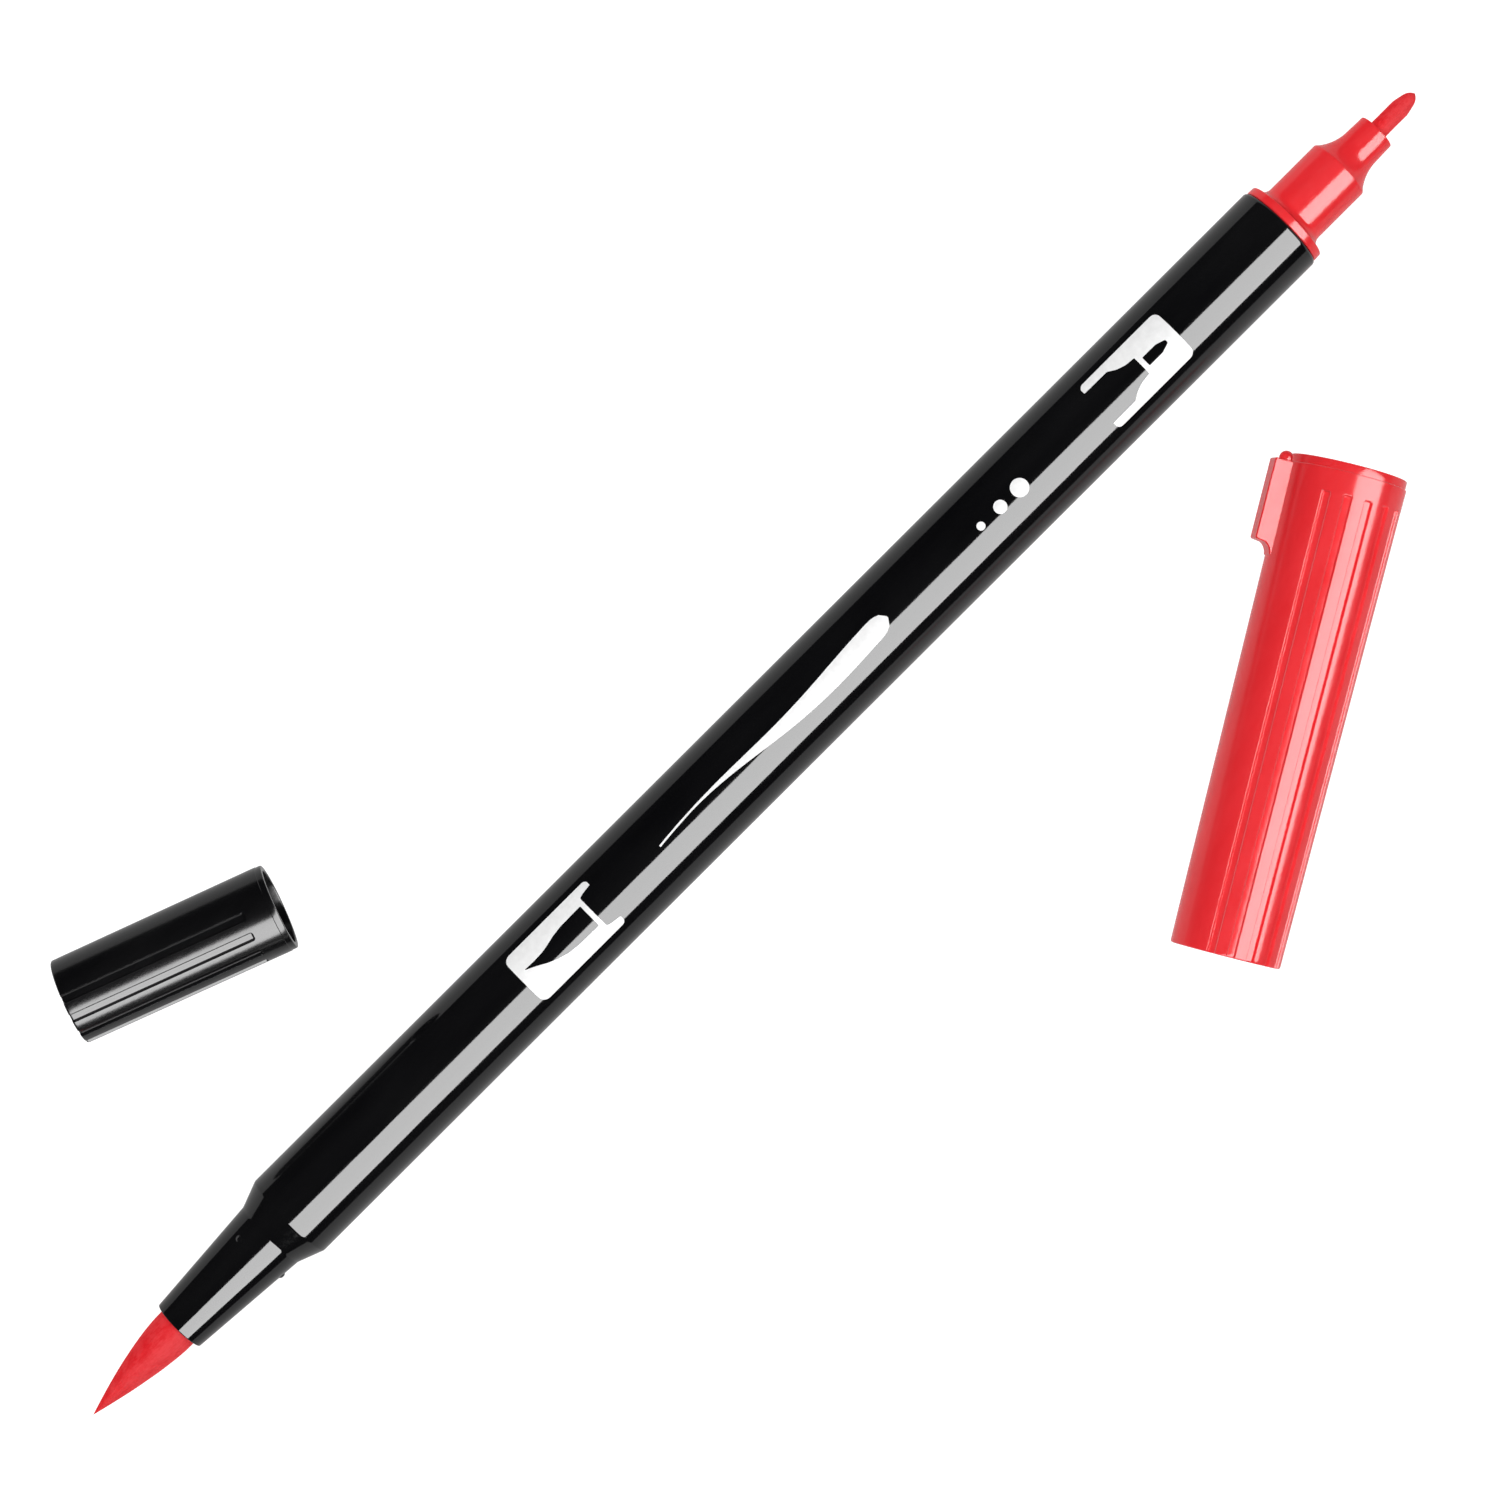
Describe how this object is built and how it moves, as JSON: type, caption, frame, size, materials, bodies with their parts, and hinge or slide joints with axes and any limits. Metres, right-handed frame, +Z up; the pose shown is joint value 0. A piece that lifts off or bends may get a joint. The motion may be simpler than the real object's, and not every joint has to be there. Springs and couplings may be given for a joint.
{
  "type": "twin-tip brush pen",
  "caption": "Round twin-tip marker with a flexible brush at one end, a fine nib at the other, an ink store inside and a grooved pull-off cap for each end, lying uncapped.",
  "frame": {"origin": "on the pen's axis at the middle of the full-width barrel", "axes": "+X along the pen from the brush to the fine nib, +Z up from the surface it lies on, +Y towards the side where the short cap lies"},
  "size_m": [0.1869, 0.087, 0.0121],
  "materials": {
    "black_plastic": "glossy black moulded plastic with fine handling marks",
    "red_plastic": "glossy, slightly translucent red moulded plastic",
    "brush_fibre": "satin fibre brush soaked with red ink",
    "nib_fibre": "porous fibre nib soaked with red ink",
    "store_fibre": "fibre bundle soaked with red ink",
    "clear_film": "thin clear plastic film",
    "pale_plastic": "natural moulded plastic",
    "print_white": "opaque white pad-printed ink"
  },
  "bodies": {
    "pen": {"barrel": "black_plastic", "brush_shank": "brush_fibre", "nib_holder": "pale_plastic", "ink_reservoir": "store_fibre", "reservoir_sleeve": "clear_film", "fine_nose": "red_plastic", "fine_nib": "nib_fibre"},
    "brush": {"brush_tip": "brush_fibre"},
    "long_cap": {"long_cap_shell": "red_plastic", "long_cap_inner": "red_plastic"},
    "short_cap": {"short_cap_shell": "black_plastic", "short_cap_inner": "black_plastic"}
  },
  "joints": [
    {"name": "brush_flex", "type": "hinge", "parent": "pen", "child": "brush", "pos_m": [-0.0861, 0, 0], "axis": [0, 0, 1], "range_deg": [-25, 25], "stiffness_Nm_per_rad": 0.004},
    {"name": "long_cap_pull", "type": "slide", "parent": "pen", "child": "long_cap", "axis": [-0.859, -0.512, 0], "range_m": [0, 0.0408]},
    {"name": "short_cap_pull", "type": "slide", "parent": "pen", "child": "short_cap", "axis": [-0.9373, 0.3486, 0], "range_m": [0, 0.019]}
  ]
}
